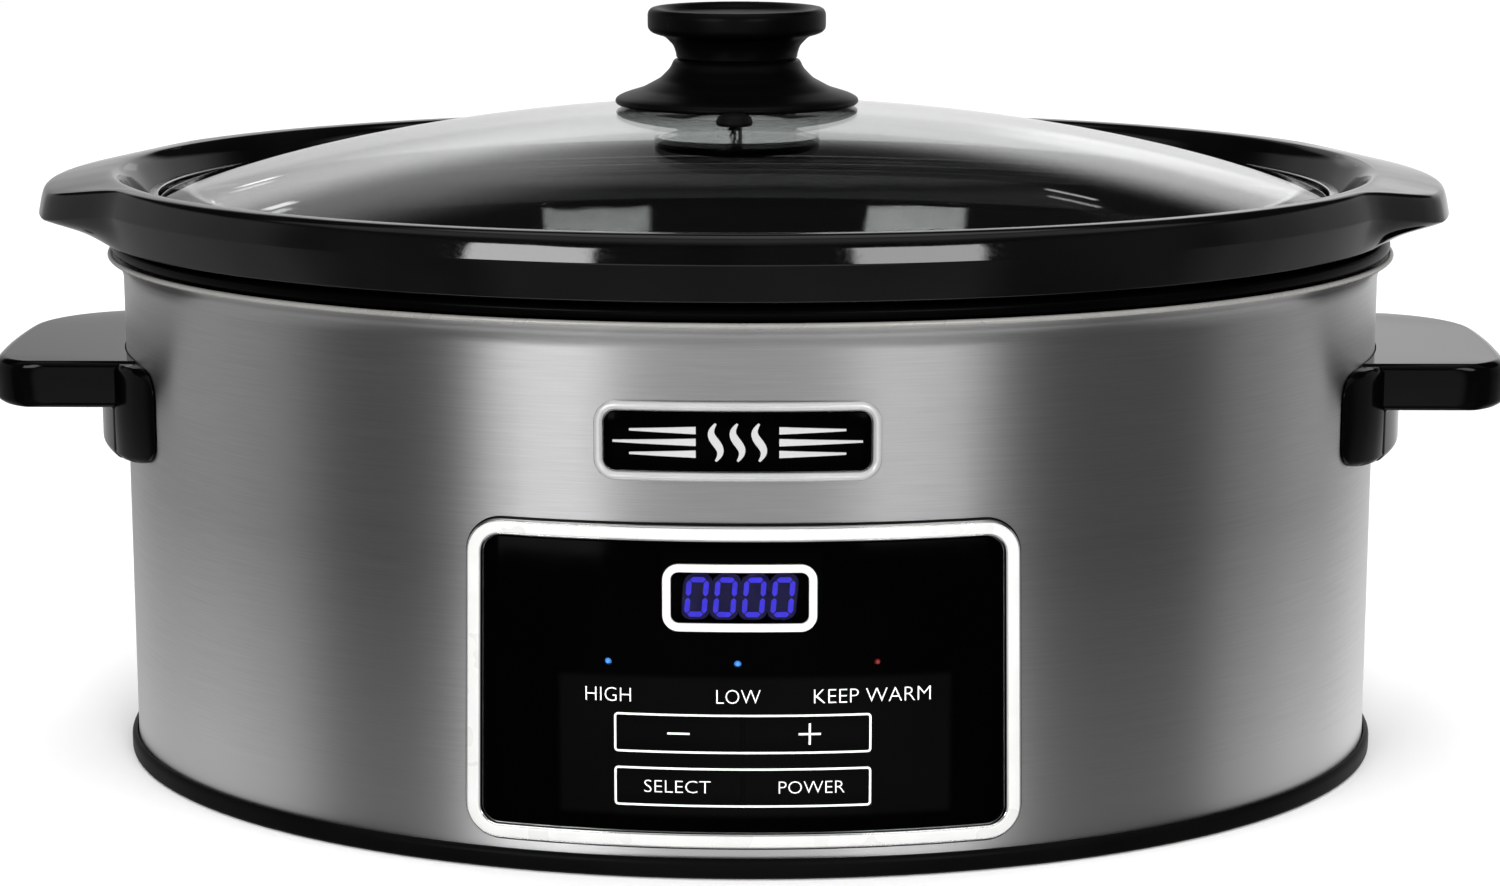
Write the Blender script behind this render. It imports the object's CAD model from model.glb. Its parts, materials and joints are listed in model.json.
"""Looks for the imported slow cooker: fine meshes, materials, camera, floor and light.

Shapes are worked out in millimetres in the frame's own axes: the origin is the bottom centre,
+X is to the right, +Y to the back and +Z up. MM turns them into Blender's metres. An "out"
value is how far a point stands outside the steel wall; it is negative inside the cooker. The
sections of oval hoops are (out, z) points, and those of turned parts are (radius, height).
"""

import functools
import json
import math

import bmesh
import bpy
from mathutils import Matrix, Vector


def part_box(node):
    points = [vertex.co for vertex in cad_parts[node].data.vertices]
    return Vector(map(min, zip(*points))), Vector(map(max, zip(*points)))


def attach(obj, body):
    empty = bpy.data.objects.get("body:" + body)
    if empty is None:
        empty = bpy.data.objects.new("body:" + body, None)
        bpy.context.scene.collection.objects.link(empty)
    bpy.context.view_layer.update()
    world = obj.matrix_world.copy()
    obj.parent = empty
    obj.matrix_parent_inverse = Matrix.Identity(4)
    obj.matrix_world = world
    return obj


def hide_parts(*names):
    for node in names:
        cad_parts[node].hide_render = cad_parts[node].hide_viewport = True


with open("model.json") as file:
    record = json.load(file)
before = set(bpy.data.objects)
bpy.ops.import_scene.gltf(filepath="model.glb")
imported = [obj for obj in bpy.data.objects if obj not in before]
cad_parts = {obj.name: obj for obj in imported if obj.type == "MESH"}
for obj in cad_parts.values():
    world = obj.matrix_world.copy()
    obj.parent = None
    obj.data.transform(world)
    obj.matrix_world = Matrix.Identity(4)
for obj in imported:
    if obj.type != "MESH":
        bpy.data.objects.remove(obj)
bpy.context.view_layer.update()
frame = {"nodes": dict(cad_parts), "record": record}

MM = 0.001


def node_box(node):
    """Lowest and highest corner of a CAD node, in millimetres."""
    low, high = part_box(node)
    return low / MM, high / MM


# Driving dimensions, from the frame where it has them
LIP_FLARE = 4.2
LIP_RADIUS = 0.72
LIP_OUT = LIP_FLARE - LIP_RADIUS
SHELL_LOW, SHELL_HIGH = node_box("outer_shell")
WALL_HALF_WIDTH = SHELL_HIGH.x - LIP_FLARE
WALL_HALF_DEPTH = SHELL_HIGH.y - LIP_FLARE
LIP_Z = SHELL_HIGH.z - 0.4
WRAP_FOOT = SHELL_LOW.z - 0.9
SHEET = 1.0
GAP = 0.3
OVAL_SIDES, ROUND_SIDES, BEAD_SIDES = 256, 96, 12
# How far the middle of a round edge stands off its corner, as a share of its radius
ROUND_CUT = 0.3
SQUARE = ((-1, -1), (1, -1), (1, 1), (-1, 1))

# Crock and lid, which stand a little to the left of the body's middle
CROCK_X, KNOB_X = -1.8, -3.6
CROCK_TOP = node_box("crock")[1].z
SEAT_Z = 148.6
GRIP_REACH = 12.6
GRIP_FULL_HALF, GRIP_ROOT_HALF = 37.0, 60.0
LID_HALF_WIDTH, LID_HALF_DEPTH, LID_TOP = node_box("lid_glass")[1]
LID_RISE = 24.8
GLASS = 3.4
RIM_LOW, RIM_TOP = (corner.z for corner in node_box("lid_rim"))
SCREW_HOLE = 4.5
VENT_Y = sum(corner.y for corner in node_box("vent_grommet")) / 2
VENT_BORE = 1.2
VENT_CUT_LOW, VENT_CUT_HIGH = 165.0, 185.0

# Carrying handles
HANDLE_LOW = node_box("handle_right")[0].z
HANDLE_TIP, HANDLE_HALF, HANDLE_HIGH = node_box("handle_right")[1]
HANDLE_UNDER = 100.4
# Fall of the handle's tip, times the square of the distance from its middle
HANDLE_BOW = 0.0016
NEAR_CORNER, FAR_CORNER = 12.0, 26.0
BRACKET = 7.2
HANDLE_GAP = 0.4
END_ROUND = 1.6
MOUNT_HALF, MOUNT_CORNER = 57.5, 7.0

# Control panel and badge, along the front wall. A box is (x, z, width, height, corner radius).
PANEL = (0.0, 48.7, 136.0, 81.3, 8.5)
OPENING_HALF_WIDTH, OPENING_LOW, OPENING_HIGH = 55.0, 15.0, 83.0
# Share by which the panel narrows with each millimetre of height
PANEL_LEAN = 0.00025
BEZEL = 3.9
OVERLAY_LOW, OVERLAY_HIGH = 0.3, 1.5
# The lighter zone round the keys: (centre, half size) across and up, and the width of its soft edge
KEYPAD_ACROSS, KEYPAD_UP, KEYPAD_EDGE = (3.0, 48.0), (34.0, 17.5), 2.0
DISPLAY_X, DISPLAY_Z = -0.7, 71.4
DISPLAY = (DISPLAY_X, DISPLAY_Z, 37.5, 16.8, 4.0)
DISPLAY_FRAME = 2.0
# Low and high out of the display's layers, from the lens back to the backing
LENS_OUTS, DIGIT_OUTS, GLOW_OUTS, BACKING_OUTS = (GAP, 1.1), (-0.1, 0.1), (-0.6, -0.4), (-1.0, -0.75)
DIGITS, DIGIT_PITCH, DIGIT_SLANT = 4, 7.0, math.tan(math.radians(5.0))
LAMP_X, LOW_LAMP_X, LAMP_Z = 32.7, -1.2, 55.0
LAMP_OUT, LAMP_RADIUS, LAMP_BODY_RADIUS = 1.75, 0.6, 1.5
KEY_X, KEY_WIDTH, KEY_HEIGHT = 15.6, 30.5, 8.4
KEY_CORNER, KEY_EASE, KEY_GAP = 0.6, 0.04, 0.06
STEM_RADIUS, STEM_LAP = 2.2, 0.05
UPPER_KEY_Z, LOWER_KEY_Z = 37.0, 23.3
LABEL_Z = 46.8
PRINT = 0.06
PRINT_OUTS = (OVERLAY_HIGH - PRINT / 2, OVERLAY_HIGH + PRINT)
BADGE_X, BADGE_Z = -1.2, 110.0
BADGE = (BADGE_X, BADGE_Z, 69.5, 19.5, 5.3)
BADGE_RIM = 2.2
BADGE_OUTS, ORNAMENT_OUTS = (GAP, 1.1), (1.0, 1.55)

# Mains lead inlet
INLET_Z = 24.0
INLET_BORE = 3.3

# Camera and floor, in metres and radians; the lens in millimetres
CAMERA_DISTANCE, CAMERA_HEIGHT = 0.9804, 0.2773
CAMERA_PITCH, CAMERA_AZIMUTH = 0.196, math.radians(0.75)
FOCAL_LENGTH, SENSOR = 85.77, 36.0
FLOOR_HALF = 8.0

# Soft lights, in metres and watts: name, place, target, size, power
PANEL_LIGHTS = (
    ("overhead", (0.0, 0.6, 4.0), (0.0, 0.6, 0.0), (7.0, 7.0), 275.0),
    ("front_fill", (0.3, -2.6, 0.9), (0.0, 0.0, 0.1), (1.6, 1.2), 70.0),
)

# The room that gloss sees, in degrees: bearing 0 faces the panel and + is to its right, elevation 0
# is level. Walls and table are (bearing, brightness) pairs all the way round.
WALLS = (
    (-180, 0.85), (-160, 0.45), (-125, 0.36), (-100, 0.38), (-84, 0.32), (-66, 0.06), (-46, 0.05),
    (-20, 0.03), (30, 0.03), (44, 0.05), (74, 0.06), (90, 0.26), (110, 0.40), (150, 0.66), (165, 0.82),
    (180, 0.85),
)
TABLE = (
    (-180, 1.0), (-100, 1.0), (-80, 0.9), (-62, 1.1), (-48, 1.1), (-36, 0.8), (30, 0.8), (44, 1.2),
    (62, 1.2), (88, 0.8), (120, 1.0), (180, 1.0),
)
# The elevations that each fills: centre, half height, edge
WALLS_BAND, TABLE_BAND, CEILING_BAND = (-17.0, 40.0, 8.0), (-90.0, 28.0, 14.0), (90.0, 26.0, 10.0)
CEILING_STRENGTH, DIM_STRENGTH, BACKDROP_STRENGTH = 0.9, 0.015, 0.95
# Windows and smaller patches of light: bearing, elevation, half width, half height, edge, strength
WINDOWS = (
    (-30.5, 13.5, 9.5, 6.0, 1.5, 10.5),
    (26.0, 15.2, 9.5, 5.6, 1.5, 8.0),
    (-2.0, -12.0, 22.0, 14.0, 12.0, 0.75),
    (0.0, -34.0, 42.0, 22.0, 10.0, 0.13),
    (0.0, 45.0, 85.0, 14.0, 12.0, 0.45),
    (-163.0, 24.0, 12.0, 9.0, 10.0, 0.4),
    (-163.0, 24.8, 0.5, 0.5, 0.4, 2.6),
    (-165.8, 14.3, 0.5, 0.3, 0.5, 2.0),
    (168.0, 31.0, 1.0, 0.2, 0.3, 2.0),
    (168.0, 12.0, 6.0, 3.5, 3.0, 0.35),
)


# ---- plumbing


def new_mesh(name, shape):
    """A mesh in metres from a shape, which is a list of points in millimetres and a list of faces."""
    points, faces = shape
    mesh = bpy.data.meshes.new(name)
    mesh.from_pydata([Vector(point) * MM for point in points], [], faces)
    return mesh


def new_object(name, data):
    """A new object in the scene."""
    made = bpy.data.objects.new(name, data)
    bpy.context.scene.collection.objects.link(made)
    return made


def smooth(mesh, sharp_angle):
    """Smooth shading that keeps edges sharper than an angle in degrees."""
    mesh.shade_smooth()
    mesh.set_sharp_from_angle(angle=math.radians(sharp_angle))


def make_piece(name, shape, material, node=None, body="base", sharp_angle=50.0):
    """One piece of the looks. It rides on a body and may stand for a CAD node."""
    mesh = new_mesh(name, shape)
    cleaned = bmesh.new()
    cleaned.from_mesh(mesh)
    bmesh.ops.recalc_face_normals(cleaned, faces=cleaned.faces)
    cleaned.to_mesh(mesh)
    cleaned.free()
    smooth(mesh, sharp_angle)
    mesh.materials.append(material)
    piece = new_object(name, mesh)
    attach(piece, body)
    if node:
        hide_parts(node)
    return piece


def evaluated(thing):
    """An object's mesh with its modifiers or its lettering worked out."""
    return bpy.data.meshes.new_from_object(thing.evaluated_get(bpy.context.evaluated_depsgraph_get()))


def cut_out(piece, shape, sharp_angle=50.0):
    """Cuts a shape out of a piece's own mesh."""
    helper = new_object("cutter", new_mesh("cutter", shape))
    change = piece.modifiers.new("Cut", "BOOLEAN")
    change.operation = "DIFFERENCE"
    change.solver = "EXACT"
    change.object = helper
    piece.data = evaluated(piece)
    piece.modifiers.clear()
    smooth(piece.data, sharp_angle)
    bpy.data.objects.remove(helper)


# ---- shapes


def shifted(shape, x):
    """A shape moved sideways."""
    points, faces = shape
    return [Vector(point) + Vector((x, 0.0, 0.0)) for point in points], faces


def circle(count):
    """(cosine, sine) pairs of evenly spaced turns."""
    turns = (2 * math.pi * i / count for i in range(count))
    return [(math.cos(turn), math.sin(turn)) for turn in turns]


def oval(half_width, half_depth, z):
    """Points of a level oval, anticlockwise from +X as seen from above."""
    return [Vector((half_width * c, half_depth * s, z)) for c, s in circle(OVAL_SIDES)]


def wall_oval(out, z):
    """The level oval that stands a given distance outside the steel wall."""
    return oval(WALL_HALF_WIDTH + out, WALL_HALF_DEPTH + out, z)


def soften(corners, cut, steps=4, closed=True):
    """A smoother line past corners of any dimension: each is cut short and bridged by a curve."""
    line = []
    for i, corner in enumerate(corners):
        if not closed and i in (0, len(corners) - 1):
            line.append(tuple(corner))
            continue
        ends = []
        for neighbour in (corners[i - 1], corners[(i + 1) % len(corners)]):
            share = min(0.48, cut / math.dist(corner[:2], neighbour[:2]))
            ends.append([here + (there - here) * share for here, there in zip(corner, neighbour)])
        for step in range(steps + 1):
            t = step / steps
            line.append(tuple(
                (1 - t) ** 2 * a + 2 * t * (1 - t) * c + t * t * b
                for a, c, b in zip(ends[0], corner, ends[1])
            ))
    return line


def loft(rings, tube=False):
    """A closed body through rings of equal count. A tube's last ring meets its first."""
    count = len(rings[0])
    points = [point for ring in rings for point in ring]
    faces = []
    for i in range(len(rings) if tube else len(rings) - 1):
        here, there = i * count, (i + 1) % len(rings) * count
        for j in range(count):
            k = (j + 1) % count
            faces.append((here + j, here + k, there + k, there + j))
    if not tube:
        faces.append(tuple(range(count)))
        faces.append(tuple(reversed(range(len(points) - count, len(points)))))
    return points, faces


def merged(*shapes):
    """Several separate shapes as one mesh."""
    points, faces = [], []
    for shape_points, shape_faces in shapes:
        start = len(points)
        points += shape_points
        faces += [tuple(start + i for i in face) for face in shape_faces]
    return points, faces


def wall_ring(section):
    """An oval hoop with a constant section, given as (out, z) points."""
    return loft([wall_oval(out, z) for out, z in section], tube=True)


def turned(profile, base=(0.0, 0.0, 0.0), axis=(0.0, 0.0, 1.0), sides=ROUND_SIDES, tube=False):
    """A turned body from (radius, height) points along an axis that starts at base."""
    base, axis = Vector(base), Vector(axis).normalized()
    side = axis.orthogonal().normalized()
    other = axis.cross(side)
    rings = [
        [base + axis * height + (side * c + other * s) * radius for c, s in circle(sides)]
        for radius, height in profile
    ]
    return loft(rings, tube)


def rod(radius, start, end, sides=48):
    """A plain round rod between two points, for cutting holes."""
    start, end = Vector(start), Vector(end)
    return turned([(radius, 0.0), (radius, (end - start).length)], start, end - start, sides)


def wall_point(x, z, out):
    """The point of the front wall at x and z, moved out along the wall's normal."""
    y = -WALL_HALF_DEPTH * math.sqrt(1 - (x / WALL_HALF_WIDTH) ** 2)
    normal = Vector((x / WALL_HALF_WIDTH**2, y / WALL_HALF_DEPTH**2, 0.0)).normalized()
    return Vector((x, y, z)) + normal * out


def stations(half, corner, step=2.0, corner_steps=8):
    """Places from -half to half: close together in the corners, a step apart between."""
    turns = (math.pi / 2 * i / corner_steps for i in range(1, corner_steps + 1))
    arc = [half - corner * (1 - math.sin(turn)) for turn in turns]
    flat = half - corner
    count = max(2, math.ceil(2 * flat / step))
    middle = [-flat + 2 * flat * i / count for i in range(count + 1)]
    return [-place for place in reversed(arc)] + middle + arc


def corner_drop(place, half, corner):
    """How far a rounded rectangle's edge has fallen back at a place along it."""
    past = max(0.0, abs(place) - (half - corner))
    return corner - math.sqrt(max(0.0, corner**2 - past**2))


def inset(box, amount, corner=None):
    """A box made smaller all round, with its own corner radius or one that shrinks with it."""
    x, z, width, height, radius = box
    return x, z, width - 2 * amount, height - 2 * amount, corner or radius - amount


def wall_plate(box, low, high, ease=0.25, lean=0.0):
    """A plate on the front wall with round corners and an eased front edge. Lean narrows it upwards."""
    x, z, width, height, corner = box

    def on_wall(along, up, out):
        return wall_point(x + along * (1 - lean * up), z + up, out)

    rings = []
    for place in stations(width / 2, corner):
        reach = height / 2 - corner_drop(place, width / 2, corner)
        end = max(0.0, abs(place) - (width / 2 - ease))
        top = high - (ease - math.sqrt(max(0.0, ease**2 - end**2)))
        soft = min(ease, reach / 2)
        cut = soft * ROUND_CUT
        side = [(reach, low), (reach, top - soft), (reach - cut, top - cut), (reach - soft, top)]
        lower = [on_wall(place, -up, out) for up, out in side]
        rings.append(lower + [on_wall(place, up, out) for up, out in reversed(side)])
    return loft(rings)


def rounded_path(width, height, corner, corner_steps=10, step=2.0):
    """(x, z, normal x, normal z) around a rounded rectangle centred on the origin."""
    flat_x, flat_z = width / 2 - corner, height / 2 - corner
    across = max(1, math.ceil(2 * flat_x / step))
    path = []
    for quarter, (sign_x, sign_z) in enumerate(((1, 1), (-1, 1), (-1, -1), (1, -1))):
        for i in range(corner_steps + 1):
            turn = math.pi / 2 * (quarter + i / corner_steps)
            normal = (math.cos(turn), math.sin(turn))
            centre = (sign_x * flat_x, sign_z * flat_z)
            path.append((centre[0] + corner * normal[0], centre[1] + corner * normal[1], *normal))
        if quarter in (0, 2):
            for i in range(1, across):
                x = sign_x * flat_x * (1 - 2 * i / across)
                path.append((x, sign_z * height / 2, 0.0, sign_z))
    return path


def wall_frame(box, section, lean=0.0):
    """A frame on the front wall; its section is (distance inwards from the box's edge, out) points."""
    x, z, width, height, corner = box
    rings = [
        [
            wall_point(x + (px - nx * inwards) * (1 - lean * pz), z + pz - nz * inwards, out)
            for inwards, out in section
        ]
        for px, pz, nx, nz in rounded_path(width, height, corner)
    ]
    return loft(rings, tube=True)


def wall_patch(outline, low, high):
    """A thin flat shape on the front wall, from its (x, z) outline."""
    return loft([[wall_point(x, z, out) for x, z in outline] for out in (low, high)])


def stroke(path, half_width):
    """The (x, z) outline of a stroke along (x, z, share of the half width) points."""
    left, right = [], []
    for i, (x, z, share) in enumerate(path):
        before, after = path[max(0, i - 1)], path[min(len(path) - 1, i + 1)]
        along = Vector((after[0] - before[0], after[1] - before[1])).normalized()
        side = Vector((-along.y, along.x)) * half_width * share
        left.append((x + side.x, z + side.y))
        right.append((x - side.x, z - side.y))
    return left + right[::-1]


# ---- material nodes

# The middle of a noise, which holds nearly all of its values
NOISE_LOW, NOISE_HIGH = 0.3, 0.7


def new_material(name, colour, roughness, metallic=0.0, **sockets):
    """A material with a Principled shader; the other sockets are named with underscores."""
    made = bpy.data.materials.new(name)
    made.use_nodes = True
    shader = made.node_tree.nodes["Principled BSDF"]
    shader.inputs["Base Color"].default_value = (*colour, 1.0)
    shader.inputs["Roughness"].default_value = roughness
    shader.inputs["Metallic"].default_value = metallic
    for socket, value in sockets.items():
        shader.inputs[socket.replace("_", " ")].default_value = value
    return made, made.node_tree, shader


def add_node(tree, kind, **settings):
    node = tree.nodes.new(kind)
    for name, value in settings.items():
        setattr(node, name, value)
    return node


def noise(tree, scale, detail=3.0, stretch=(1.0, 1.0, 1.0)):
    """A noise value over the object, in cycles per metre, stretched along the axes."""
    place = add_node(tree, "ShaderNodeTexCoord")
    mapping = add_node(tree, "ShaderNodeMapping")
    mapping.inputs["Scale"].default_value = [scale * share for share in stretch]
    texture = add_node(tree, "ShaderNodeTexNoise")
    texture.inputs["Scale"].default_value = 1.0
    texture.inputs["Detail"].default_value = detail
    tree.links.new(place.outputs["Object"], mapping.inputs["Vector"])
    tree.links.new(mapping.outputs["Vector"], texture.inputs["Vector"])
    return texture.outputs["Fac"]


def axes(tree, output="Object"):
    """X, y and z of a texture coordinate, as sockets."""
    place = add_node(tree, "ShaderNodeTexCoord")
    split = add_node(tree, "ShaderNodeSeparateXYZ")
    tree.links.new(place.outputs[output], split.inputs[0])
    return split.outputs


def map_range(tree, value, ranges, **settings):
    """A value moved between ranges: (from low, from high, to low, to high)."""
    node = add_node(tree, "ShaderNodeMapRange", **settings)
    for name, number in zip(("From Min", "From Max", "To Min", "To Max"), ranges):
        node.inputs[name].default_value = number
    tree.links.new(value, node.inputs["Value"])
    return node.outputs["Result"]


def spread(tree, value, low, high, from_low=NOISE_LOW, from_high=NOISE_HIGH):
    """A value moved from the middle of a noise to a range of its own."""
    return map_range(tree, value, (from_low, from_high, low, high))


def vary_colour(tree, shader, value, dark, light, from_low=NOISE_LOW, from_high=NOISE_HIGH):
    """The base colour runs from dark to light with a value."""
    ramp = add_node(tree, "ShaderNodeValToRGB")
    ramp.color_ramp.elements[0].position = from_low
    ramp.color_ramp.elements[1].position = from_high
    ramp.color_ramp.elements[0].color = (*dark, 1.0)
    ramp.color_ramp.elements[1].color = (*light, 1.0)
    tree.links.new(value, ramp.inputs["Fac"])
    tree.links.new(ramp.outputs["Color"], shader.inputs["Base Color"])


def vary_roughness(tree, shader, value, low, high):
    tree.links.new(spread(tree, value, low, high), shader.inputs["Roughness"])


def add_bump(tree, shader, layers):
    """Bump from (value, height in millimetres) layers, one on the other."""
    normal = None
    for value, height in layers:
        bump = add_node(tree, "ShaderNodeBump")
        bump.inputs["Distance"].default_value = height * MM
        tree.links.new(value, bump.inputs["Height"])
        if normal:
            tree.links.new(normal, bump.inputs["Normal"])
        normal = bump.outputs["Normal"]
    tree.links.new(normal, shader.inputs["Normal"])


def shade(grey):
    return (grey, grey, grey)


def tinted(colour, share):
    """A colour made darker or lighter."""
    return [min(1.0, part * share) for part in colour]


def math_node(tree, operation, *values):
    node = add_node(tree, "ShaderNodeMath", operation=operation)
    for socket, value in zip(node.inputs, values):
        if isinstance(value, (int, float)):
            socket.default_value = value
        else:
            tree.links.new(value, socket)
    return node.outputs[0]


def soft_band(tree, value, centre, half_width, edge):
    """1 within half_width of the centre, easing to 0 over an edge."""
    away = math_node(tree, "ABSOLUTE", math_node(tree, "SUBTRACT", value, centre))
    ranges = (half_width - edge / 2, half_width + edge / 2, 1.0, 0.0)
    return map_range(tree, away, ranges, interpolation_type="SMOOTHSTEP")


# ---- materials


def brushed_steel():
    """Steel sheet brushed round the body: fine level lines, and lighter towards its foot."""
    made, tree, shader = new_material(
        "brushed_steel", shade(0.6), 0.34, 1.0, Anisotropic=0.9, Anisotropic_Rotation=0.25
    )
    tangent = add_node(tree, "ShaderNodeTangent", direction_type="RADIAL", axis="Z")
    tree.links.new(tangent.outputs["Tangent"], shader.inputs["Tangent"])
    fine = noise(tree, 60.0, 2.0, (1.0, 1.0, 55.0))
    broad = noise(tree, 14.0, 2.0, (1.0, 1.0, 60.0))
    low_down = spread(tree, axes(tree)["Z"], 0.45, 0.0, 12.0 * MM, 80.0 * MM)
    grain = spread(tree, fine, 0.55, 0.61)
    vary_colour(tree, shader, math_node(tree, "ADD", grain, low_down), shade(0.0), shade(1.0), 0.0, 1.0)
    vary_roughness(tree, shader, broad, 0.33, 0.36)
    add_bump(tree, shader, [(fine, 0.0022)])
    return made


def lid_steel():
    """Polished band of the lid, with faint lines round it."""
    made, tree, shader = new_material("lid_band_steel", shade(0.68), 0.16, 1.0)
    lines = noise(tree, 40.0, 2.0, (1.0, 1.0, 60.0))
    vary_colour(tree, shader, lines, shade(0.62), shade(0.72))
    vary_roughness(tree, shader, lines, 0.12, 0.2)
    return made


def panel_gloss():
    """The panel's glossy black, a shade lighter round the keys."""
    made, tree, shader = new_material("panel_gloss", shade(0.0005), 0.1, IOR=1.48, Specular_IOR_Level=0.01)
    x, _, z = axes(tree)
    across, up = (
        soft_band(tree, place, centre * MM, half * MM, KEYPAD_EDGE * MM)
        for place, (centre, half) in ((x, KEYPAD_ACROSS), (z, KEYPAD_UP))
    )
    uneven = spread(tree, noise(tree, 25.0, 2.0), 0.7, 1.0)
    lighter = math_node(tree, "MULTIPLY", math_node(tree, "MULTIPLY", across, up), uneven)
    vary_colour(tree, shader, lighter, shade(0.0003), shade(0.002), 0.0, 1.0)
    vary_roughness(tree, shader, noise(tree, 120.0), 0.08, 0.12)
    return made


def stoneware_glaze():
    """Deep black glaze with the slow waviness that a dipped and fired surface has."""
    made, tree, shader = new_material("black_glaze", shade(0.001), 0.05, IOR=1.5)
    waves = noise(tree, 38.0, 1.0)
    pits = noise(tree, 900.0, 2.0)
    vary_colour(tree, shader, waves, shade(0.0008), shade(0.002))
    vary_roughness(tree, shader, pits, 0.03, 0.08)
    add_bump(tree, shader, [(waves, 0.35), (pits, 0.002)])
    return made


def clear_material(name, colour, roughness, ior, smear_scale, low, high):
    """A clear or smoked material with faint smears, which lie between two roughnesses."""
    made, tree, shader = new_material(name, colour, roughness, IOR=ior, Transmission_Weight=1.0)
    vary_roughness(tree, shader, noise(tree, smear_scale), low, high)
    return made


def moulded_plastic(name, grey, roughness, grain, height, gloss=0.5):
    """Moulded plastic: a grain of its own size and depth, and a faint unevenness."""
    made, tree, shader = new_material(name, shade(grey), roughness, IOR=1.48, Specular_IOR_Level=gloss)
    texture = noise(tree, grain, 3.0)
    cloud = noise(tree, 30.0, 2.0)
    vary_colour(tree, shader, cloud, shade(grey * 0.8), shade(grey * 1.25))
    vary_roughness(tree, shader, cloud, roughness * 0.9, roughness * 1.12)
    add_bump(tree, shader, [(texture, height)])
    return made


def bright_trim(name, colour, roughness, metallic):
    """Plated trim: bright, with the slight orange peel of plated plastic."""
    made, tree, shader = new_material(name, colour, roughness, metallic)
    peel = noise(tree, 90.0, 2.0)
    vary_roughness(tree, shader, peel, roughness * 0.8, roughness * 1.2)
    vary_colour(tree, shader, peel, tinted(colour, 0.96), tinted(colour, 1.03))
    return made


def light_source(name, colour, strength, body):
    """A lit part: its own light over the plastic or phosphor's colour, a little uneven."""
    made, tree, shader = new_material(name, body, 0.3)
    shader.inputs["Emission Color"].default_value = (*colour, 1.0)
    flicker = spread(tree, noise(tree, 900.0, 2.0), strength * 0.85, strength * 1.15)
    tree.links.new(flicker, shader.inputs["Emission Strength"])
    return made


def white_print():
    made, tree, shader = new_material("white_print", shade(0.86), 0.5)
    vary_colour(tree, shader, noise(tree, 1500.0, 3.0), shade(0.78), shade(0.9))
    return made


def coloured_part(name, colour, roughness, metallic=0.0, grain=600.0):
    """A plain inner part: its colour with a fine grain, uneven gloss and slight bump."""
    made, tree, shader = new_material(name, colour, roughness, metallic)
    texture = noise(tree, grain, 3.0)
    vary_colour(tree, shader, texture, tinted(colour, 0.82), tinted(colour, 1.15))
    vary_roughness(tree, shader, texture, roughness * 0.85, min(1.0, roughness * 1.15))
    add_bump(tree, shader, [(texture, 0.02)])
    return made


def woven_blanket():
    """Glass fibre cloth of the heater band and the blanket: crossed threads."""
    made, tree, shader = new_material("glass_fibre", (0.78, 0.75, 0.66), 0.9)
    warp = noise(tree, 300.0, 2.0, (1.0, 1.0, 8.0))
    weft = noise(tree, 300.0, 2.0, (8.0, 8.0, 1.0))
    vary_colour(tree, shader, warp, (0.62, 0.58, 0.48), (0.85, 0.82, 0.74))
    add_bump(tree, shader, [(warp, 0.15), (weft, 0.15)])
    return made


STEEL = brushed_steel()
LID_STEEL = lid_steel()
GLAZE = stoneware_glaze()
GLASS_CLEAR = clear_material("clear_glass", (0.96, 0.985, 0.975), 0.0, 1.5, 22.0, 0.0, 0.02)
BASE_BLACK = moulded_plastic("base_black", 0.0015, 0.4, 1400.0, 0.008, 0.06)
ENAMEL = moulded_plastic("black_enamel", 0.0005, 0.25, 700.0, 0.004, 0.05)
KNOB_BLACK = moulded_plastic("knob_black", 0.0008, 0.36, 1600.0, 0.01, 0.08)
HANDLE_BLACK = moulded_plastic("handle_black", 0.0006, 0.1, 300.0, 0.001, 0.12)
SILICONE = moulded_plastic("black_silicone", 0.002, 0.5, 800.0, 0.02, 0.1)
RUBBER = moulded_plastic("foot_rubber", 0.01, 0.8, 900.0, 0.04, 0.3)
PANEL_BLACK = panel_gloss()
BEZEL_TRIM = bright_trim("bezel_trim", (0.54, 0.54, 0.53), 0.3, 0.1)
EDGE_CHROME = bright_trim("edge_chrome", (0.85, 0.85, 0.85), 0.08, 1.0)
HEM_STEEL = bright_trim("hem_steel", (0.28, 0.275, 0.262), 0.3, 0.35)
CLEAR_SILICONE = clear_material("clear_silicone", (0.95, 0.965, 0.96), 0.04, 1.025, 60.0, 0.02, 0.08)
BADGE_TRIM = bright_trim("badge_trim", (0.51, 0.51, 0.515), 0.22, 0.5)
DISPLAY_TRIM = bright_trim("display_trim", (0.80, 0.79, 0.75), 0.3, 0.0)
SCREW_STEEL = coloured_part("screw_steel", (0.5, 0.5, 0.52), 0.35, 1.0)
LENS = clear_material("smoked_lens", (0.5, 0.5, 0.56), 0.04, 1.04, 120.0, 0.02, 0.06)
PRINT_WHITE = white_print()
DIGIT_BLUE = light_source("digit_blue", (0.07, 0.05, 1.0), 1.25, (0.02, 0.02, 0.1))
DIGIT_GLOW = light_source("digit_glow", (0.02, 0.01, 0.2), 0.3, (0.001, 0.001, 0.004))
LAMP_BLUE = light_source("lamp_blue", (0.06, 0.27, 0.8), 0.75, (0.03, 0.12, 0.4))
LAMP_RED = light_source("lamp_red", (0.5, 0.04, 0.04), 0.08, (0.12, 0.015, 0.015))


# ---- body and base


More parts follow.
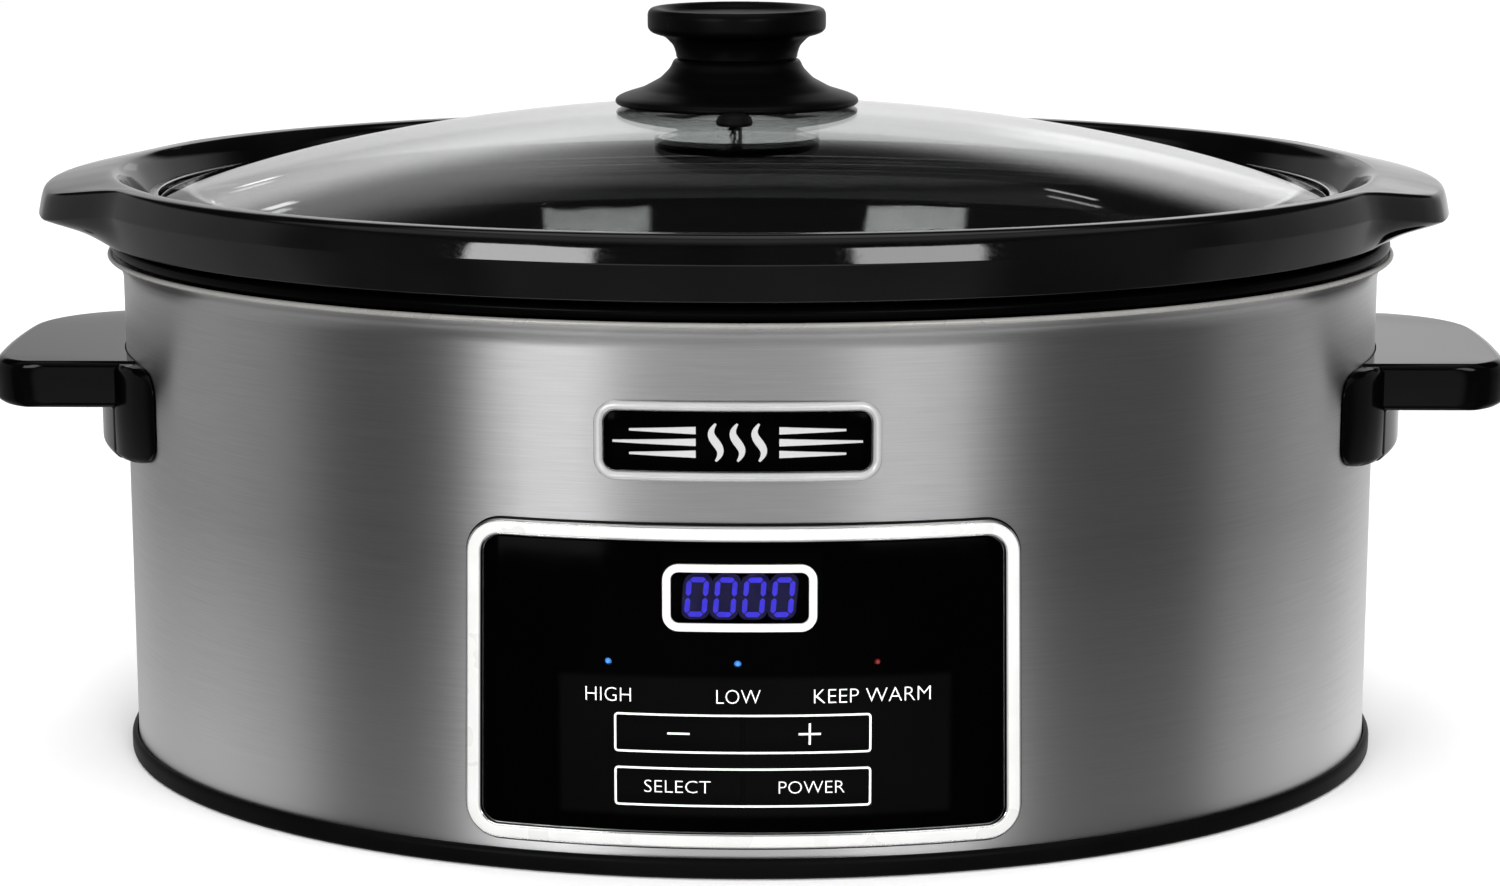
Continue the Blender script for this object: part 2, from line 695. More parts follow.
def make_steel_wrap():
    """The brushed wrap, with a lip that flares out to a hemmed edge."""
    corners = [
        (0.0, WRAP_FOOT), (0.0, 133.2), (0.9, 135.9), (2.6, 137.2), (3.4, 138.0), (3.4, 138.7),
        (3.0, 138.9), (2.4, 138.6), (0.2, 136.6), (-SHEET, 133.4), (-SHEET, WRAP_FOOT),
    ]
    sheet = wall_ring(soften(corners, 1.2))
    wrap = make_piece("steel_wrap", sheet, STEEL, "outer_shell")
    front, back = -WALL_HALF_DEPTH - 20.0, -WALL_HALF_DEPTH / 2
    opening = [
        [(x * OPENING_HALF_WIDTH, y, OPENING_LOW if z < 0 else OPENING_HIGH) for x, z in SQUARE]
        for y in (front, back)
    ]
    cut_out(wrap, loft(opening))
    bead = [(LIP_OUT + LIP_RADIUS * c, LIP_Z + LIP_RADIUS * s) for c, s in circle(BEAD_SIDES)]
    make_piece("lip_hem", wall_ring(bead), HEM_STEEL)


def make_base_moulding():
    """The black ring under the steel, with a shelf inside for the bottom plate."""
    corners = [
        (1.3, 0.2), (1.9, 0.8), (1.9, 4.1), (1.6, 5.0), (0.9, 5.4), (0.35, 5.3),
        (0.35, WRAP_FOOT - GAP), (-SHEET - 0.35, WRAP_FOOT - GAP), (-SHEET - 0.35, 4.4),
        (-12.0, 4.4), (-12.0, 3.0), (-2.6, 3.0), (-2.6, 0.2),
    ]
    moulding = wall_ring(soften(corners, 0.35, 3))
    make_piece("base_moulding", moulding, BASE_BLACK, "base_ring")


def make_liner():
    """The black enamelled well, whose rolled rim covers the steel's lip."""
    profile = [
        (-42.0, 30.2), (-31.0, 33.0), (-25.0, 44.0), (-16.5, 136.0), (-15.7, 141.9),
        (-14.5, 143.1), (1.8, 143.1), (3.1, 142.4), (3.3, 141.2), (2.9, 139.9), (2.2, 139.9),
        (2.4, 141.2), (1.5, 142.3), (-13.9, 142.3), (-14.9, 141.2), (-15.6, 136.0),
        (-24.1, 43.6), (-30.4, 32.3), (-41.6, 29.4),
    ]
    rings = [wall_oval(out, z) for out, z in soften(profile, 1.0, 4, closed=False)]
    make_piece("enamel_well", loft(rings), ENAMEL, "heating_liner")


def make_feet():
    """Four rubber feet, whose necks snap into the bottom plate."""
    radius = 7.0
    profile = [
        (2.0, 0.4), (radius - 2.2, 0.4), (radius - 1.6, 0.0), (radius - 0.5, 0.0), (radius, 0.6),
        (radius - 0.4, 1.9), (2.6, 1.9), (2.6, 3.5), (3.8, 3.5), (2.2, 6.4),
    ]
    for place in ("front_left", "front_right", "back_left", "back_right"):
        low, high = node_box(f"foot_{place}")
        centre = ((low.x + high.x) / 2, (low.y + high.y) / 2, 0.0)
        foot = turned(soften(profile, 0.3, 3, closed=False), centre, sides=48)
        make_piece(f"rubber_foot_{place}", foot, RUBBER, f"foot_{place}")


def make_inlet():
    """The bush for the mains lead in the back wall."""
    bush = [
        (INLET_BORE, -9.0), (6.0, -9.0), (6.0, GAP), (9.0, GAP), (9.0, 1.3), (8.0, 2.1), (INLET_BORE, 2.1),
    ]
    base = (0.0, WALL_HALF_DEPTH, INLET_Z)
    shape = turned(soften(bush, 0.35, 3), base, (0.0, 1.0, 0.0), tube=True)
    make_piece("lead_bush", shape, BASE_BLACK, "cord_inlet")


# ---- crock and lid


def grip_share(y):
    """1 across the full width of an end grip, easing to 0 at its root."""
    share = (GRIP_ROOT_HALF - abs(y)) / (GRIP_ROOT_HALF - GRIP_FULL_HALF)
    share = min(1.0, max(0.0, share))
    return share * share * (3 - 2 * share)


def crock_oval(out, z, reach=0.0, drop=0.0):
    """A level oval of the crock that swells into the end grips and sinks a little there."""
    ring = []
    for point in wall_oval(out, z):
        share = grip_share(point.y)
        ring.append(Vector((point.x + math.copysign(reach * share, point.x), point.y, z - drop * share)))
    return ring


def flared_wall():
    """Levels of the crock's inner wall: it leans out evenly, then flares to the lid's seat."""
    out, z = -30.4, 121.0
    leaning, flare = (18.5, 9.3, 9.1), (7.7, 28.0, 42.0)
    steps = 6
    levels = [(out, z)]
    for rise, first_degrees, last_degrees in (leaning, flare):
        for step in range(steps):
            lean = math.radians(first_degrees + (last_degrees - first_degrees) * (step + 0.5) / steps)
            out += rise / steps * math.tan(lean)
            z += rise / steps
            levels.append((out, z))
    return levels


def make_crock():
    """The stoneware crock: basin, lid seat, rolled rim with two end grips, outer wall."""
    reach = GRIP_REACH
    basin = [
        (-47.0, 41.0), (-39.4, 42.5), (-36.0, 49.0), *flared_wall(), (-21.5, SEAT_Z), (-7.6, SEAT_Z),
        (-6.0, 150.2), (-2.4, 158.4), (-0.6, 160.5), (1.6, CROCK_TOP),
    ]
    # Out, z, and the grips' reach and drop there
    rim = [
        (4.8, CROCK_TOP, reach - 1.0, 2.9), (6.2, 160.3, reach, 3.1), (7.0, 158.2, reach, 3.2),
        (7.8, 154.4, reach, 3.4), (7.9, 153.9, reach, 3.4), (7.8, 153.5, reach, 3.3),
        (7.0, 150.6, 10.5, 1.4), (6.1, 147.5, 4.0, 0.4), (5.4, 145.1, 0.5, 0.1),
    ]
    outside = [
        (5.25, 144.7), (4.9, 144.5), (3.2, 143.8), (-17.2, 143.5), (-18.4, 142.2), (-19.0, 138.0),
        (-27.0, 46.0), (-31.0, 38.0), (-40.0, 33.0),
    ]
    even_basin, even_outside = ([(out, z, 0, 0) for out, z in part] for part in (basin, outside))
    line = soften([*even_basin, *rim, *even_outside], 1.3, 5, closed=False)
    rings = [crock_oval(*level) for level in line]
    make_piece("stoneware_crock", shifted(loft(rings), CROCK_X), GLAZE, "crock", "crock")


def dome_z(share):
    """Height of the lid's outer surface at a share of the way from the centre to the edge."""
    return LID_TOP - LID_RISE * share * share


def make_glass():
    """The glass dome with holes for the knob screw and the vent."""
    def level(share, z):
        return oval(LID_HALF_WIDTH * share, LID_HALF_DEPTH * share, z)

    first, span, steps = 0.08, 0.905, 15
    shares = [first + span * step / steps for step in range(steps + 1)]
    outer = [level(share, dome_z(share)) for share in shares]
    under = [level(share, dome_z(share) - GLASS) for share in reversed(shares)]
    round_edge = ((0.997, 0.15), (1.0, 0.5), (0.997, 0.85))
    edge = [level(share, dome_z(1.0) - GLASS * part) for share, part in round_edge]
    hole = [oval(SCREW_HOLE, SCREW_HOLE, z) for z in (LID_TOP, LID_TOP - GLASS)]
    dome = shifted(loft([hole[0], *outer, *edge, *under, hole[1]], tube=True), CROCK_X)
    glass = make_piece("glass_dome", dome, GLASS_CLEAR, "lid_glass", "lid")
    drill = rod(VENT_BORE, (KNOB_X, VENT_Y, VENT_CUT_LOW), (KNOB_X, VENT_Y, VENT_CUT_HIGH))
    cut_out(glass, drill, 180.0)


def make_lid_band():
    """The polished band rolled round the glass's edge."""
    low, high = RIM_LOW, RIM_TOP
    corners = [
        (-11.8, low), (-9.1, low), (-8.5, low + 0.6), (-8.5, high - 0.9), (-9.1, high - 0.2),
        (-11.8, high), (-11.8, high - 0.5), (-9.3, high - 0.8), (-9.1, high - 1.2), (-9.1, low + 0.9),
        (-9.4, low + 0.6), (-11.8, low + 0.6),
    ]
    band = shifted(wall_ring(soften(corners, 0.4, 3)), CROCK_X)
    make_piece("lid_band", band, LID_STEEL, "lid_rim", "lid")


def make_vent():
    """The steam vent in front of the knob: a soft cap on a clear sleeve through the glass."""
    cap = [
        (VENT_BORE / 2, 175.8), (4.4, 175.8), (4.8, 176.2), (4.9, 176.8), (4.4, 178.1), (3.0, 178.9),
        (VENT_BORE / 2, 178.9),
    ]
    sleeve = [
        (VENT_BORE / 2, 170.0), (VENT_BORE * 0.8, 170.0), (VENT_BORE * 0.8, 175.7), (VENT_BORE / 2, 175.7),
    ]
    base = (KNOB_X, VENT_Y, 0.0)
    cap_shape = turned(soften(cap, 0.3, 3), base, tube=True)
    make_piece("steam_vent", cap_shape, SILICONE, "vent_grommet", "lid")
    make_piece("vent_sleeve", turned(sleeve, base, tube=True), CLEAR_SILICONE, body="lid")


def make_knob():
    """The lid's knob, its screw, and the seals and spacer on either side of the glass."""
    skirt = [
        (2.6, 179.7), (29.5, 179.7), (31.6, 178.1), (32.8, 177.7), (33.4, 178.4), (33.2, 179.4),
        (31.4, 180.3), (26.0, 182.0), (21.0, 184.7), (18.2, 187.6), (17.2, 190.0), (2.6, 190.0),
    ]
    grip = [
        (2.3, 197.4), (2.3, 190.3), (16.6, 190.3), (16.6, 191.4), (17.4, 193.8), (19.8, 196.2),
        (23.4, 197.3), (24.4, 198.4), (24.4, 202.6), (23.6, 203.8), (22.2, 204.0), (20.6, 203.5),
        (18.4, 202.2), (8.0, 201.6), (0.5, 201.5),
    ]
    gasket = [(12.0, 178.3), (28.0, 178.3), (28.0, 179.4), (12.0, 179.4)]
    washer = [(1.9, 164.2), (19.6, 164.2), (22.3, 165.2), (22.8, 167.6), (1.9, 167.6)]
    spacer = [(1.9, 167.7), (22.2, 167.7), (22.5, 168.6), (22.2, 173.0), (1.9, 174.2)]
    screw = [
        (0.2, 162.4), (3.6, 162.5), (4.6, 163.2), (4.6, 164.1), (1.5, 164.1), (1.5, 196.9), (0.2, 197.0),
    ]
    rows = (
        ("knob_foot", soften(skirt, 1.0, 4), True, KNOB_BLACK, "knob_skirt", "knob_black"),
        ("knob_top", soften(grip, 0.9, 4, closed=False), False, KNOB_BLACK, "knob_grip", "knob_black"),
        ("knob_seal", soften(gasket, 0.3, 3), True, SILICONE, "knob_gasket", "seal_silicone"),
        ("under_washer", soften(washer, 0.4, 3), True, SILICONE, "lid_washer", "seal_silicone"),
        ("holding_screw", screw, False, SCREW_STEEL, "knob_screw", "fastener_steel"),
        ("washer_spacer", soften(spacer, 0.4, 3), True, CLEAR_SILICONE, None, None),
    )
    for name, line, tube, material, node, slot in rows:
        make_piece(name, turned(line, (KNOB_X, 0.0, 0.0), tube=tube), material, node, "lid")


# ---- carrying handles


def end_wall(y, out):
    """X of the right-hand end wall at a depth y, moved out along its normal."""
    x = WALL_HALF_WIDTH * math.sqrt(1 - (y / WALL_HALF_DEPTH) ** 2)
    normal = Vector((x / WALL_HALF_WIDTH**2, y / WALL_HALF_DEPTH**2)).normalized()
    return x + normal.x * out


def handle_section(y, smaller):
    """The handle's L-shaped outline in X and Z at a depth y, made smaller by a distance."""
    inner = end_wall(y, HANDLE_GAP)
    bracket = end_wall(y, BRACKET) - smaller
    corner = FAR_CORNER if y > 0 else NEAR_CORNER
    tip = HANDLE_TIP - HANDLE_BOW * y * y - corner_drop(y, HANDLE_HALF, corner) - smaller
    low, under, high = HANDLE_LOW + smaller, HANDLE_UNDER + smaller, HANDLE_HIGH - smaller
    corners = [
        (inner, low), (bracket - 1.6, low), (bracket, low + 1.6), (bracket, under),
        (tip - 2.6, under), (tip - 0.5, under + 1.4), (tip, high - 3.4), (tip - 0.7, high - 1.2),
        (tip - 2.8, high), (inner, high),
    ]
    return [corners[0], *soften(corners, 0.9, 4)[5:-5], corners[-1]]


def mount_section(y):
    """The mounting plate's outline in X and Z at a depth y: it thins out to the wall at its ends."""
    taper = min(1.0, (MOUNT_HALF - abs(y)) / (MOUNT_HALF - HANDLE_HALF))
    outer = end_wall(y, 0.5 + (BRACKET - 0.8) * math.sin(math.pi / 2 * taper))
    drop = corner_drop(y, MOUNT_HALF, MOUNT_CORNER)
    low, high = HANDLE_LOW + 0.4 + drop, HANDLE_HIGH - 0.6 - drop
    inner = end_wall(y, HANDLE_GAP)
    soft = min(1.5, (outer - inner) / 2)
    return [
        (inner, low), (outer - soft, low), (outer, low + soft), (outer, high - soft), (outer - soft, high),
        (inner, high),
    ]


def make_handles():
    """Two L-shaped handles: a plate that follows the wall and a flat grip that stands out."""
    span = HANDLE_HALF - END_ROUND
    near = [place for place in stations(HANDLE_HALF, NEAR_CORNER, 3.0, 10) if place < 0]
    far = [place for place in stations(HANDLE_HALF, FAR_CORNER, 3.0, 14) if place > 0]
    places = [place * span / HANDLE_HALF for place in near + far]
    mount_places = stations(MOUNT_HALF, MOUNT_HALF - HANDLE_HALF, 4.0, 10)
    end = round_over(END_ROUND)
    levels = [(-span - END_ROUND + back, smaller) for back, smaller in end]
    levels += [(place, 0.0) for place in places[1:-1]]
    levels += [(span + END_ROUND - back, smaller) for back, smaller in reversed(end)]
    for name, side in (("left", -1), ("right", 1)):
        rings = [
            [Vector((side * x, y, z)) for x, z in handle_section(y, smaller)] for y, smaller in levels
        ]
        mount = [[Vector((side * x, y, z)) for x, z in mount_section(y)] for y in mount_places]
        handle = merged(loft(rings), loft(mount))
        make_piece(f"carry_handle_{name}", handle, HANDLE_BLACK, f"handle_{name}")


def round_over(radius, steps=5):
    """(distance from the end face, how much smaller) pairs of a quarter round, from the face inwards."""
    turns = (math.pi / 2 * i / steps for i in range(steps + 1))
    return [(radius * (1 - math.cos(t)), radius * (1 - math.sin(t))) for t in turns]


# ---- control panel


def make_bezel():
    """The panel's flat bright frame, a polished bead along each of its edges and a gasket round it."""
    face = [(0.55, GAP), (0.55, 2.1), (0.8, 2.3), (3.1, 2.3), (3.4, 2.1), (3.4, GAP)]
    outer_bead = [(0.0, GAP), (0.0, 1.3), (0.15, 1.8), (0.45, 2.05), (0.55, 2.0), (0.55, GAP)]
    inner_bead = [(3.4, GAP), (3.4, 2.0), (3.6, 2.0), (3.8, 1.8), (BEZEL, 1.4), (BEZEL, GAP)]
    gasket = [(-0.45, 0.1), (-0.45, 0.7), (-0.02, 0.8), (-0.02, 0.1)]

    def around(section, cut=0.12, steps=3):
        return wall_frame(PANEL, soften(section, cut, steps), PANEL_LEAN)

    make_piece("bezel", around(face), BEZEL_TRIM, "panel_bezel")
    make_piece("bezel_beads", merged(around(outer_bead), around(inner_bead)), EDGE_CHROME)
    make_piece("bezel_gasket", around(gasket, 0.1, 2), SILICONE)


def key_places():
    """Name, x and z of each key."""
    return (
        ("minus", -KEY_X, UPPER_KEY_Z), ("plus", KEY_X, UPPER_KEY_Z),
        ("select", -KEY_X, LOWER_KEY_Z), ("power", KEY_X, LOWER_KEY_Z),
    )


def key_box(x, z, gap=0.0):
    """The box of a key, or of its opening when there is a gap round it."""
    return x, z, KEY_WIDTH + 2 * gap, KEY_HEIGHT + 2 * gap, KEY_CORNER


def make_overlay():
    """The glossy black panel, with openings for the display, the keys and the lamps."""
    plate = wall_plate(inset(PANEL, BEZEL + GAP), OVERLAY_LOW, OVERLAY_HIGH, lean=PANEL_LEAN)
    overlay = make_piece("panel_face", plate, PANEL_BLACK, "overlay_panel")
    reach = 1.5
    low, high = OVERLAY_LOW - reach, OVERLAY_HIGH + reach
    cutters = [wall_plate(inset(DISPLAY, -GAP), low, high)]
    cutters += [wall_plate(key_box(x, z, KEY_GAP), low, high) for _, x, z in key_places()]
    cutters += [
        rod(LAMP_RADIUS + GAP, wall_point(x, LAMP_Z, high), wall_point(x, LAMP_Z, low), 32)
        for x in (-LAMP_X, LOW_LAMP_X, LAMP_X)
    ]
    cut_out(overlay, merged(*cutters))


def digit_centres():
    """X of the middle of each digit."""
    return [DISPLAY_X + (digit - (DIGITS - 1) / 2) * DIGIT_PITCH for digit in range(DIGITS)]


def make_display():
    """The display's raised frame, its smoked lens and the four digits behind it."""
    section = [
        (0.0, GAP), (0.0, 1.5), (0.5, 2.0), (1.6, 2.0), (DISPLAY_FRAME, 1.5), (DISPLAY_FRAME, GAP),
    ]
    ring = wall_frame(DISPLAY, soften(section, 0.3, 3))
    make_piece("display_ring", ring, DISPLAY_TRIM, "display_frame")
    lens = wall_plate(inset(DISPLAY, DISPLAY_FRAME + GAP, corner=1.6), *LENS_OUTS)
    make_piece("display_window", lens, LENS, "display_lens")
    make_piece("display_digits", merged(*digit_segments()), DIGIT_BLUE)
    glow_path = rounded_path(7.0, 11.4, 2.4)
    glow = [
        wall_patch([(centre + x + z * DIGIT_SLANT, DISPLAY_Z + z) for x, z, *_ in glow_path], *GLOW_OUTS)
        for centre in digit_centres()
    ]
    make_piece("display_glow", merged(*glow), DIGIT_GLOW)
    backing = wall_plate(inset(DISPLAY, 1.0, corner=1.0), *BACKING_OUTS)
    make_piece("display_backing", backing, PANEL_BLACK)


def digit_segments():
    """The lit segments of four zeros: pointed bars round each digit, which lean a little."""
    half_width, half_height, thick, gap = 2.1, 4.3, 0.62, 0.22
    bars = [((-half_width, z), (half_width, z)) for z in (half_height, -half_height)]
    for x in (-half_width, half_width):
        bars += [((x, low), (x, low + half_height)) for low in (0.0, -half_height)]
    shapes = []
    for centre in digit_centres():
        for start, end in bars:
            a, b = Vector(start), Vector(end)
            along = (b - a).normalized()
            side = Vector((-along.y, along.x)) * thick
            a, b = a + along * gap, b - along * gap
            tips = (a, a + along * thick + side, b - along * thick + side,
                    b, b - along * thick - side, a + along * thick - side)
            outline = [(centre + tip.x + tip.y * DIGIT_SLANT, DISPLAY_Z + tip.y) for tip in tips]
            shapes.append(wall_patch(outline, *DIGIT_OUTS))
    return shapes


def make_lamps():
    """Three lamps, each a small lens with a body behind the panel."""
    for name, x, material, slot in (
        ("high", -LAMP_X, LAMP_BLUE, "lamp_blue"), ("low", LOW_LAMP_X, LAMP_BLUE, "lamp_blue"),
        ("warm", LAMP_X, LAMP_RED, "lamp_red"),
    ):
        front = wall_point(x, LAMP_Z, LAMP_OUT)
        profile = [
            (0.05, 0.0), (LAMP_RADIUS * 0.6, 0.1), (LAMP_RADIUS, 0.5), (LAMP_RADIUS, 4.0),
            (LAMP_BODY_RADIUS, 4.0), (LAMP_BODY_RADIUS, node_box(f"lamp_{name}")[1].y - front.y),
        ]
        lamp = turned(profile, front, (0.0, 1.0, 0.0), 32)
        make_piece(f"indicator_{name}", lamp, material, f"lamp_{name}")


def make_keys():
    """Four keys flush with the panel, each with a stem that reaches to its switch."""
    for name, x, z in key_places():
        node = f"key_{name}"
        plate = wall_plate(key_box(x, z), OVERLAY_LOW, OVERLAY_HIGH, KEY_EASE)
        length = node_box(node)[1].y - wall_point(x, z, OVERLAY_LOW).y - STEM_LAP
        start = wall_point(x, z, OVERLAY_LOW - STEM_LAP)
        stem = turned([(STEM_RADIUS, 0.0), (STEM_RADIUS, length)], start, (0.0, 1.0, 0.0), 24)
        make_piece(f"key_face_{name}", merged(plate, stem), PANEL_BLACK, node, node)


# ---- printing and badge


def text_outline(text):
    """A text in Blender's own typeface, as the points and faces of thin letters."""
    curve = bpy.data.curves.new("lettering", "FONT")
    curve.body = text
    curve.resolution_u = 3
    curve.extrude = 0.05
    curve.offset = -0.018
    lettering = new_object("lettering", curve)
    mesh = evaluated(lettering)
    points = [vertex.co.copy() for vertex in mesh.vertices]
    faces = [tuple(face.vertices) for face in mesh.polygons]
    bpy.data.objects.remove(lettering)
    bpy.data.meshes.remove(mesh)
    return points, faces


def make_label(name, text, x, z, width, height, body):
    """A printed word on the panel, of a given width and capital height."""
    points, faces = text_outline(text)
    lows, highs = ([pick(values) for values in zip(*points)] for pick in (min, max))
    placed = []
    for point in points:
        across, up, forward = (
            (value - low) / (high - low) for value, low, high in zip(point, lows, highs)
        )
        out = OVERLAY_HIGH + PRINT * (2 * forward - 0.5)
        placed.append(wall_point(x + (across - 0.5) * width, z + (up - 0.5) * height, out))
    make_piece(name, (placed, faces), PRINT_WHITE, body=body)


def make_sign(name, bars, body):
    """A printed minus or plus from (x, z, width, height) bars."""
    shapes = []
    for x, z, width, height in bars:
        outline = [(x + across * width / 2, z + up * height / 2) for across, up in SQUARE]
        shapes.append(wall_patch(outline, *PRINT_OUTS))
    make_piece(name, merged(*shapes), PRINT_WHITE, body=body)


def make_printing():
    """The words under the lamps, the key words and signs, and the lines round the keys."""
    capital, small_capital = 3.5, 3.1
    raised = LOWER_KEY_Z + 0.5
    for text, x, z, width, height, body in (
        ("HIGH", -LAMP_X, LABEL_Z, 11.1, capital, "base"),
        ("LOW", -1.0, LABEL_Z, 10.7, capital, "base"),
        ("KEEP WARM", LAMP_X - 1.2, LABEL_Z, 28.4, capital, "base"),
        ("SELECT", -KEY_X - 0.3, raised, 16.2, small_capital, "key_select"),
        ("POWER", KEY_X + 1.2, raised, 16.0, small_capital, "key_power"),
    ):
        make_label("label_" + text.lower().replace(" ", "_"), text, x, z, width, height, body)
    arm, line = 5.4, 0.5
    sign_z, plus_x = UPPER_KEY_Z + 0.3, KEY_X + 0.7
    make_sign("sign_minus", [(-KEY_X, sign_z, arm, line)], "key_minus")
    make_sign("sign_plus", [(plus_x, sign_z, arm, line), (plus_x, sign_z, line, arm)], "key_plus")
    low, high = PRINT_OUTS
    section = [(0.0, low), (0.0, high), (line, high), (line, low)]
    width, height, corner = 62.6, 9.9, 1.0
    for name, z in (("upper", sign_z), ("lower", LOWER_KEY_Z + 0.4)):
        outline = wall_frame((0.0, z, width, height, corner), section)
        make_piece(f"key_line_{name}", outline, PRINT_WHITE, sharp_angle=30.0)


def make_badge():
    """The badge: a bright rim, a black plate and a raised ornament of steam and bars."""
    section = [(0.0, GAP), (0.0, 1.2), (0.7, 1.9), (1.5, 1.9), (BADGE_RIM, 1.2), (BADGE_RIM, GAP)]
    rim = wall_frame(BADGE, soften(section, 0.35, 3))
    make_piece("badge_border", rim, BADGE_TRIM, "badge_rim")
    plate = wall_plate(inset(BADGE, BADGE_RIM + GAP), *BADGE_OUTS)
    make_piece("badge_plate", plate, PANEL_BLACK, "badge_face")
    make_piece("badge_ornament", merged(*ornament_shapes()), BADGE_TRIM)


def ornament_shapes():
    """Three wisps of steam in the middle and three tapering bars on each side."""
    wisp_pitch, wisp_sway, wisp_height, wisp_steps = 5.2, 1.1, 9.2, 16
    bar_pitch, bar_start, bar_steps = 2.9, 10.0, 12
    shapes = []
    for wisp in (-1, 0, 1):
        path = []
        for step in range(wisp_steps + 1):
            t = step / wisp_steps
            x = BADGE_X + wisp * wisp_pitch + wisp_sway * math.sin(2 * math.pi * t)
            z = BADGE_Z - wisp_height / 2 + wisp_height * t
            path.append((x, z, 0.25 + 0.75 * math.sin(math.pi * t)))
        shapes.append(wall_patch(stroke(path, 1.0), *ORNAMENT_OUTS))
    for side in (-1, 1):
        for z, end in ((bar_pitch, 26.0), (0.0, 30.0), (-bar_pitch, 26.0)):
            path = [
                (BADGE_X + side * (bar_start + (end - bar_start) * i / bar_steps), BADGE_Z + z,
                 1.0 - 0.7 * i / bar_steps)
                for i in range(bar_steps + 1)
            ]
            shapes.append(wall_patch(stroke(path, 0.9), *ORNAMENT_OUTS))
    return shapes


# ---- inner parts


def finish_inner_parts():
    """Materials for the CAD nodes that stay: sheet metal, fasteners, boards and what is on them."""
    sheet = coloured_part("plated_sheet", (0.06, 0.06, 0.065), 0.45, 0.7, 300.0)
    zinc = coloured_part("zinc_steel", (0.55, 0.55, 0.56), 0.35, 1.0, 900.0)
    board = coloured_part("board_green", (0.02, 0.16, 0.06), 0.4, 0.0, 500.0)
    pale = coloured_part("pale_plastic", (0.62, 0.62, 0.60), 0.5)
    black = coloured_part("black_plastic", (0.02, 0.02, 0.02), 0.5)
    blanket = woven_blanket()
    finishes = {
        "base_sheet": sheet, "shield_metal": zinc, "fastener_steel": zinc, "sensor_metal": zinc,
        "board_green": board, "tray_plastic": pale, "terminal_nylon": pale, "switch_plastic": black,
        "inlet_black": black, "display_block": black, "heater_wrap": blanket, "insulation": blanket,
        "relay_blue": coloured_part("relay_blue", (0.02, 0.10, 0.45), 0.4),
        "capacitor_film": coloured_part("capacitor_yellow", (0.55, 0.40, 0.04), 0.4),
        "ribbon_grey": coloured_part("ribbon_grey", (0.35, 0.35, 0.36), 0.6),
    }
    slots = {row["node"]: row["material_slot"] for row in frame["record"]["subparts"]}
    for name, node in frame["nodes"].items():
        slot = slots[name]
        if slot in finishes and not node.hide_render:
            node.data.materials.clear()
            node.data.materials.append(finishes[slot])


# ---- camera, floor and light


def make_camera():
    """The camera, which looks down a little and slightly from the right."""
    camera = new_object("camera", bpy.data.cameras.new("camera"))
    across, back = math.sin(CAMERA_AZIMUTH), math.cos(CAMERA_AZIMUTH)
    camera.location = (across * CAMERA_DISTANCE, -back * CAMERA_DISTANCE, CAMERA_HEIGHT)
    camera.rotation_euler = (math.pi / 2 - CAMERA_PITCH, 0.0, CAMERA_AZIMUTH)
    camera.data.lens = FOCAL_LENGTH
    camera.data.sensor_width = SENSOR
    bpy.context.scene.camera = camera


def make_floor():
    """A pale floor, wide enough to fill the view. Gloss takes its floor from the studio's light."""
    made, tree, shader = new_material("pale_floor", shade(0.9), 0.9)
    vary_colour(tree, shader, noise(tree, 3.0), shade(0.88), shade(0.92))
    mesh = bpy.data.meshes.new("floor")
    mesh.from_pydata([(x * FLOOR_HALF, y * FLOOR_HALF, 0.0) for x, y in SQUARE], [], [(0, 1, 2, 3)])
    mesh.materials.append(made)
    floor = new_object("floor", mesh)
    floor.visible_glossy = False


def add_panel_light(name, place, target, size, power):
    """A soft rectangular light that lights matt surfaces but makes no reflection of its own."""
    data = bpy.data.lights.new(name, "AREA")
    data.shape = "RECTANGLE"
    data.size, data.size_y = size
    data.energy = power
    light = new_object(name, data)
    light.location = place
    light.rotation_euler = (Vector(target) - Vector(place)).to_track_quat("-Z", "Y").to_euler()
    light.visible_glossy = False
    light.visible_transmission = False
    light.visible_camera = False


def ring_values(tree, turn, values):
    """A brightness that runs round the horizon through (bearing, value) pairs."""
    ramp = add_node(tree, "ShaderNodeValToRGB")
    ramp.color_ramp.interpolation = "EASE"
    elements = ramp.color_ramp.elements
    while len(elements) < len(values):
        elements.new(0.5)
    brightest = max(value for _, value in values)
    for element, (degrees, value) in zip(elements, values):
        element.position = degrees / 360 + 0.5
        element.color = (*shade(value / brightest), 1.0)
    tree.links.new(turn, ramp.inputs["Fac"])
    return math_node(tree, "MULTIPLY", ramp.outputs["Color"], brightest)


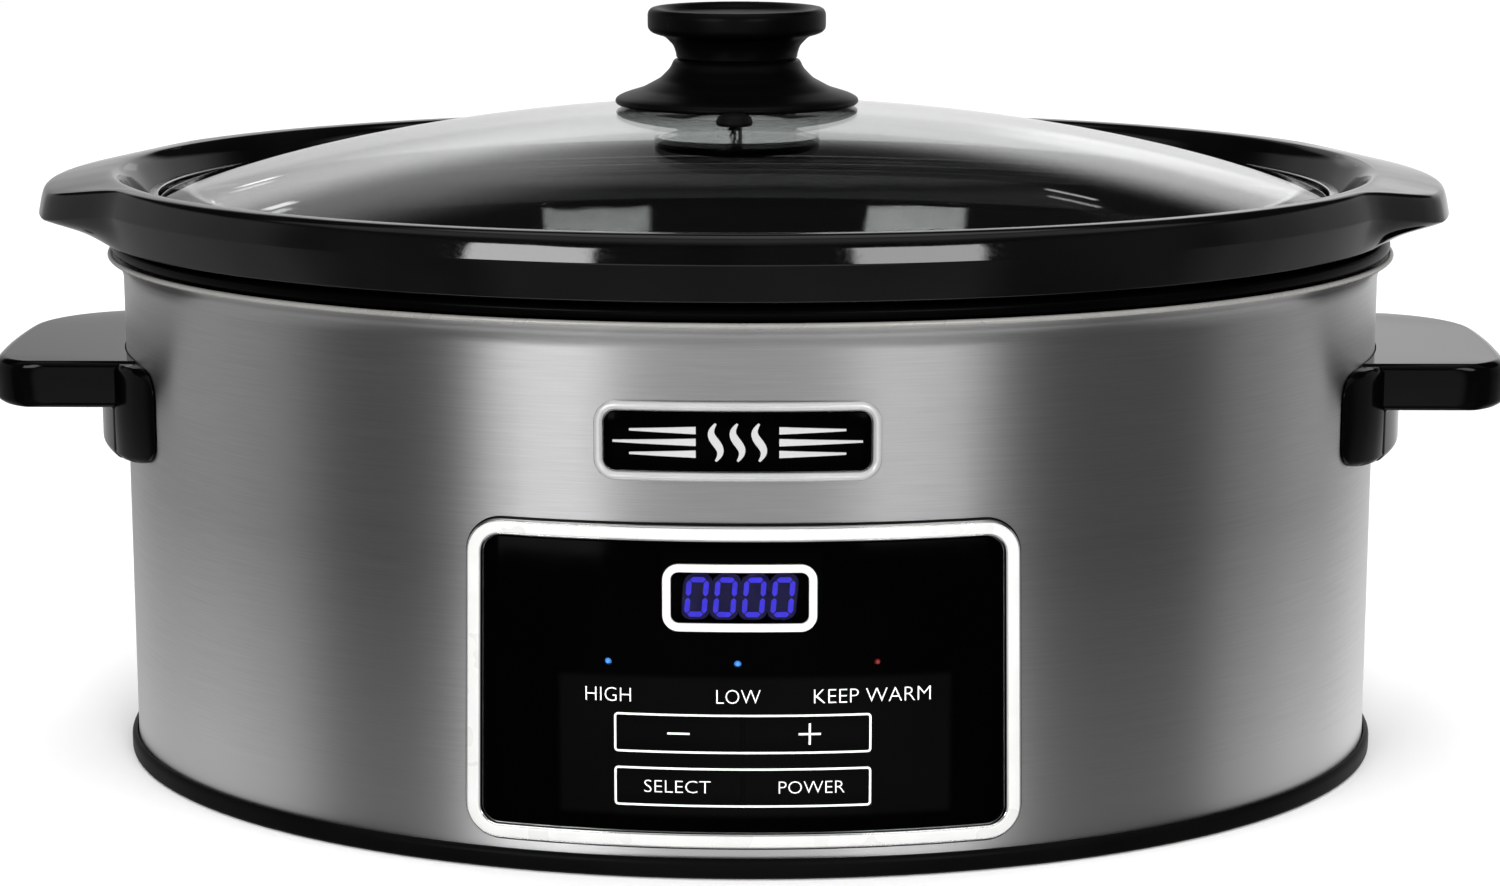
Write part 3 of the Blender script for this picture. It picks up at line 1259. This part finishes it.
def make_studio_light():
    """The world is a studio: a pale sweep behind, a dim room in front with two window lights."""
    world = bpy.data.worlds.new("studio")
    world.use_nodes = True
    bpy.context.scene.world = world
    tree = world.node_tree
    background = tree.nodes["Background"]
    background.inputs["Color"].default_value = (1.0, 1.0, 1.0, 1.0)
    calculate = functools.partial(math_node, tree)
    x, y, z = axes(tree, "Generated")
    bearing = calculate("DEGREES", calculate("ARCTAN2", x, calculate("MULTIPLY", y, -1.0)))
    height = calculate("DEGREES", calculate("ARCSINE", z))
    turn = calculate("ADD", calculate("DIVIDE", bearing, 360.0), 0.5)
    walls = calculate("MULTIPLY", ring_values(tree, turn, WALLS), soft_band(tree, height, *WALLS_BAND))
    table = calculate("MULTIPLY", ring_values(tree, turn, TABLE), soft_band(tree, height, *TABLE_BAND))
    ceiling = calculate("MULTIPLY", soft_band(tree, height, *CEILING_BAND), CEILING_STRENGTH)
    room = calculate("ADD", walls, table)
    total = calculate("ADD", calculate("ADD", room, ceiling), DIM_STRENGTH)
    for centre, up, half_width, half_height, edge, strength in WINDOWS:
        across = soft_band(tree, bearing, centre, half_width, edge)
        along = soft_band(tree, height, up, half_height, edge)
        glow = calculate("MULTIPLY", calculate("MULTIPLY", across, along), strength)
        total = calculate("ADD", total, glow)
    camera_ray = add_node(tree, "ShaderNodeLightPath").outputs["Is Camera Ray"]
    seen = calculate("MULTIPLY", camera_ray, BACKDROP_STRENGTH)
    unseen = calculate("MULTIPLY", calculate("SUBTRACT", 1.0, camera_ray), total)
    tree.links.new(calculate("ADD", seen, unseen), background.inputs["Strength"])
    for row in PANEL_LIGHTS:
        add_panel_light(*row)


def main():
    make_camera()
    make_steel_wrap()
    make_base_moulding()
    make_liner()
    make_feet()
    make_inlet()
    make_crock()
    make_glass()
    make_lid_band()
    make_vent()
    make_knob()
    make_handles()
    make_bezel()
    make_overlay()
    make_display()
    make_lamps()
    make_keys()
    make_printing()
    make_badge()
    finish_inner_parts()
    make_floor()
    make_studio_light()
    bpy.context.scene.view_settings.view_transform = "Standard"


main()
